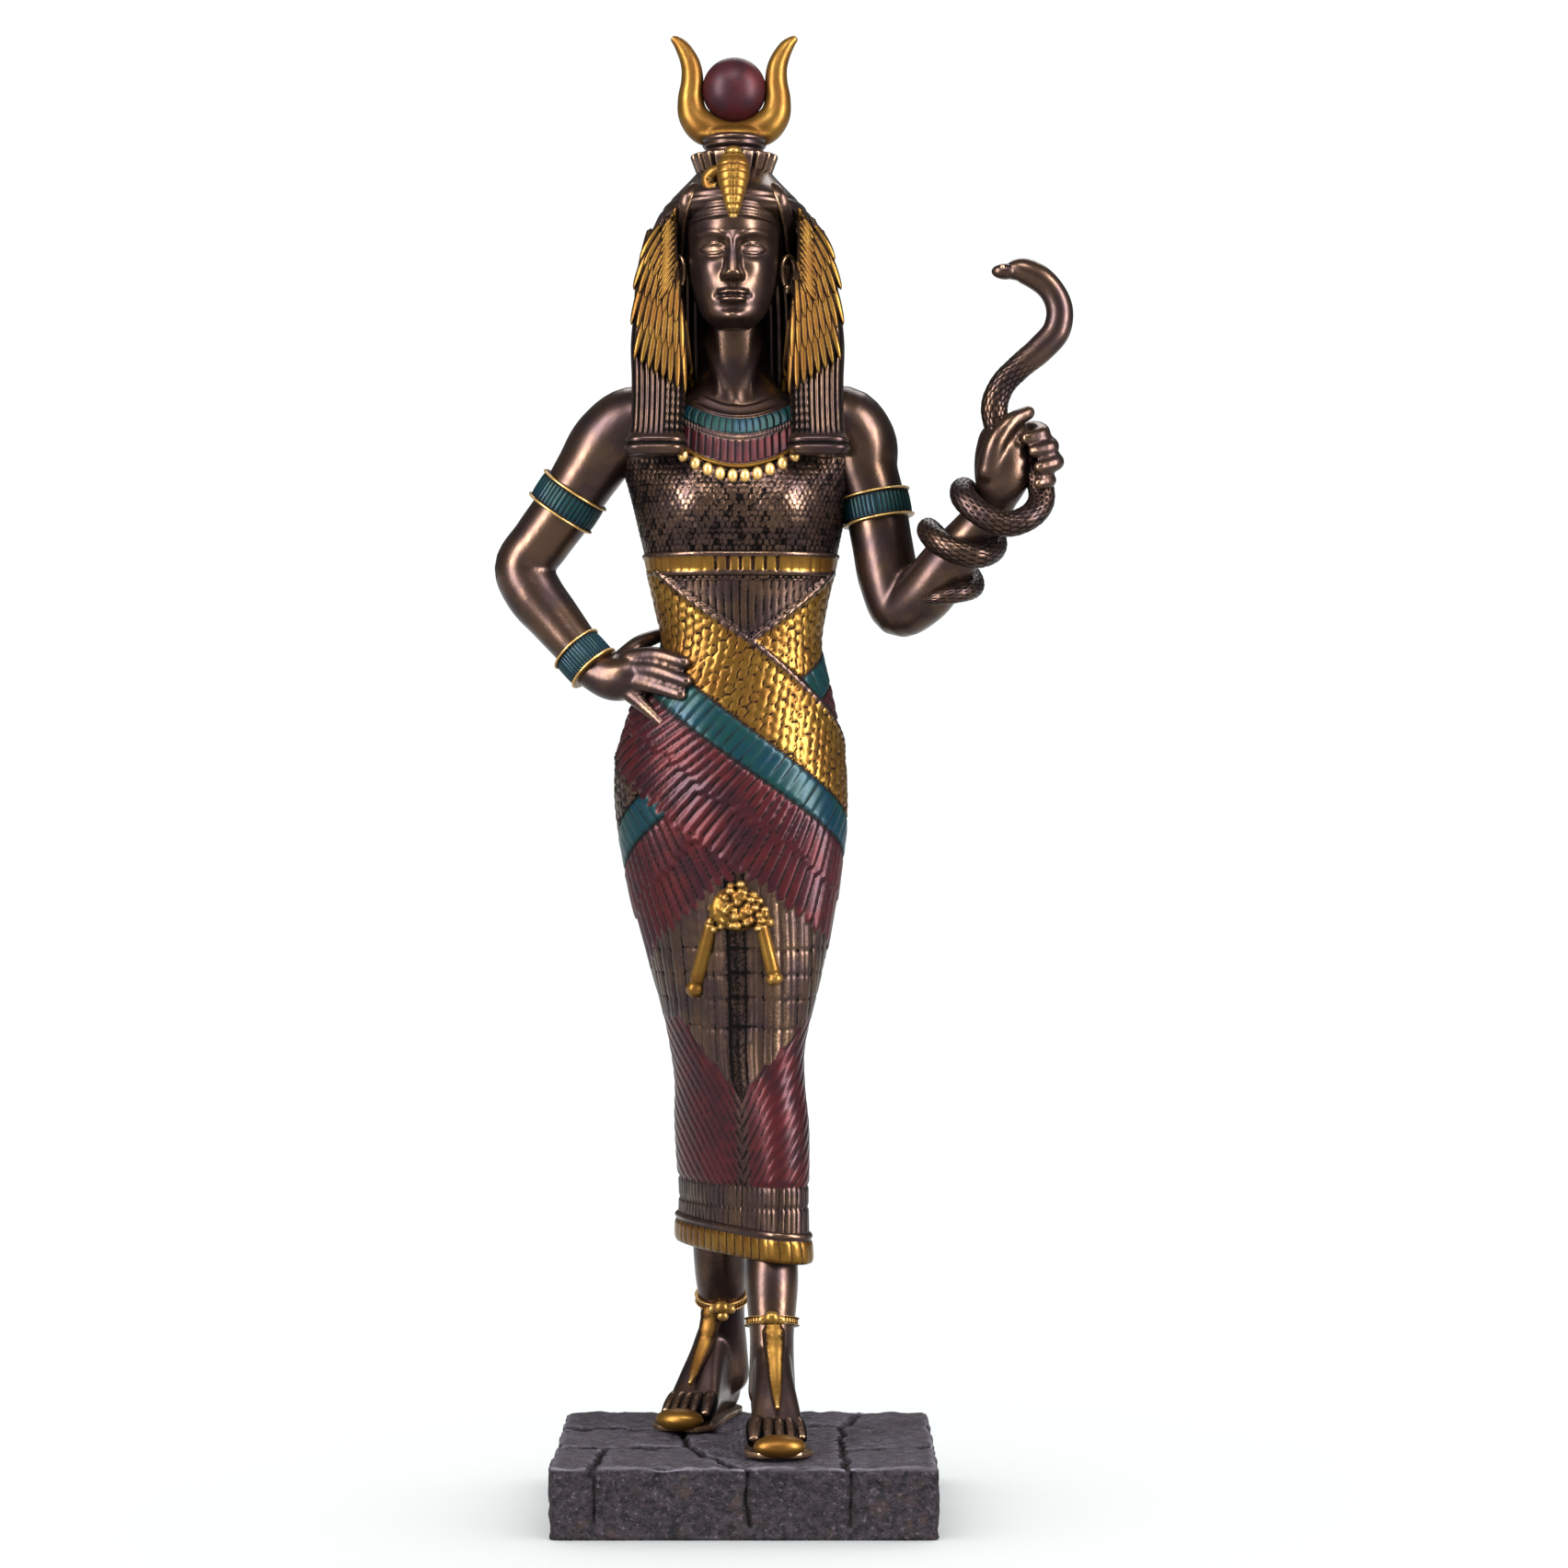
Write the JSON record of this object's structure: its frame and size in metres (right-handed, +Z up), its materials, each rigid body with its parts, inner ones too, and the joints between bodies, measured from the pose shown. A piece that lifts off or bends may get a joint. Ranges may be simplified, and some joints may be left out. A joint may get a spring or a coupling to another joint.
{
  "type": "ancient egyptian goddess figurine",
  "caption": "Standing horned goddess in bronze-look resin, one hand on her hip and a snake round the other raised arm, on a rectangular flagstone plinth.",
  "frame": {"origin": "middle of the plinth's underside", "axes": "+Z up, -Y the way the figure faces, +X to a viewer's right"},
  "size_m": [0.1092, 0.067, 0.2805],
  "materials": {
    "bronze_look_resin": "satin",
    "stone_look_resin": "matte"
  },
  "bodies": {
    "root": {"goddess_figure": "bronze_look_resin", "stone_plinth": "stone_look_resin"}
  },
  "joints": []
}
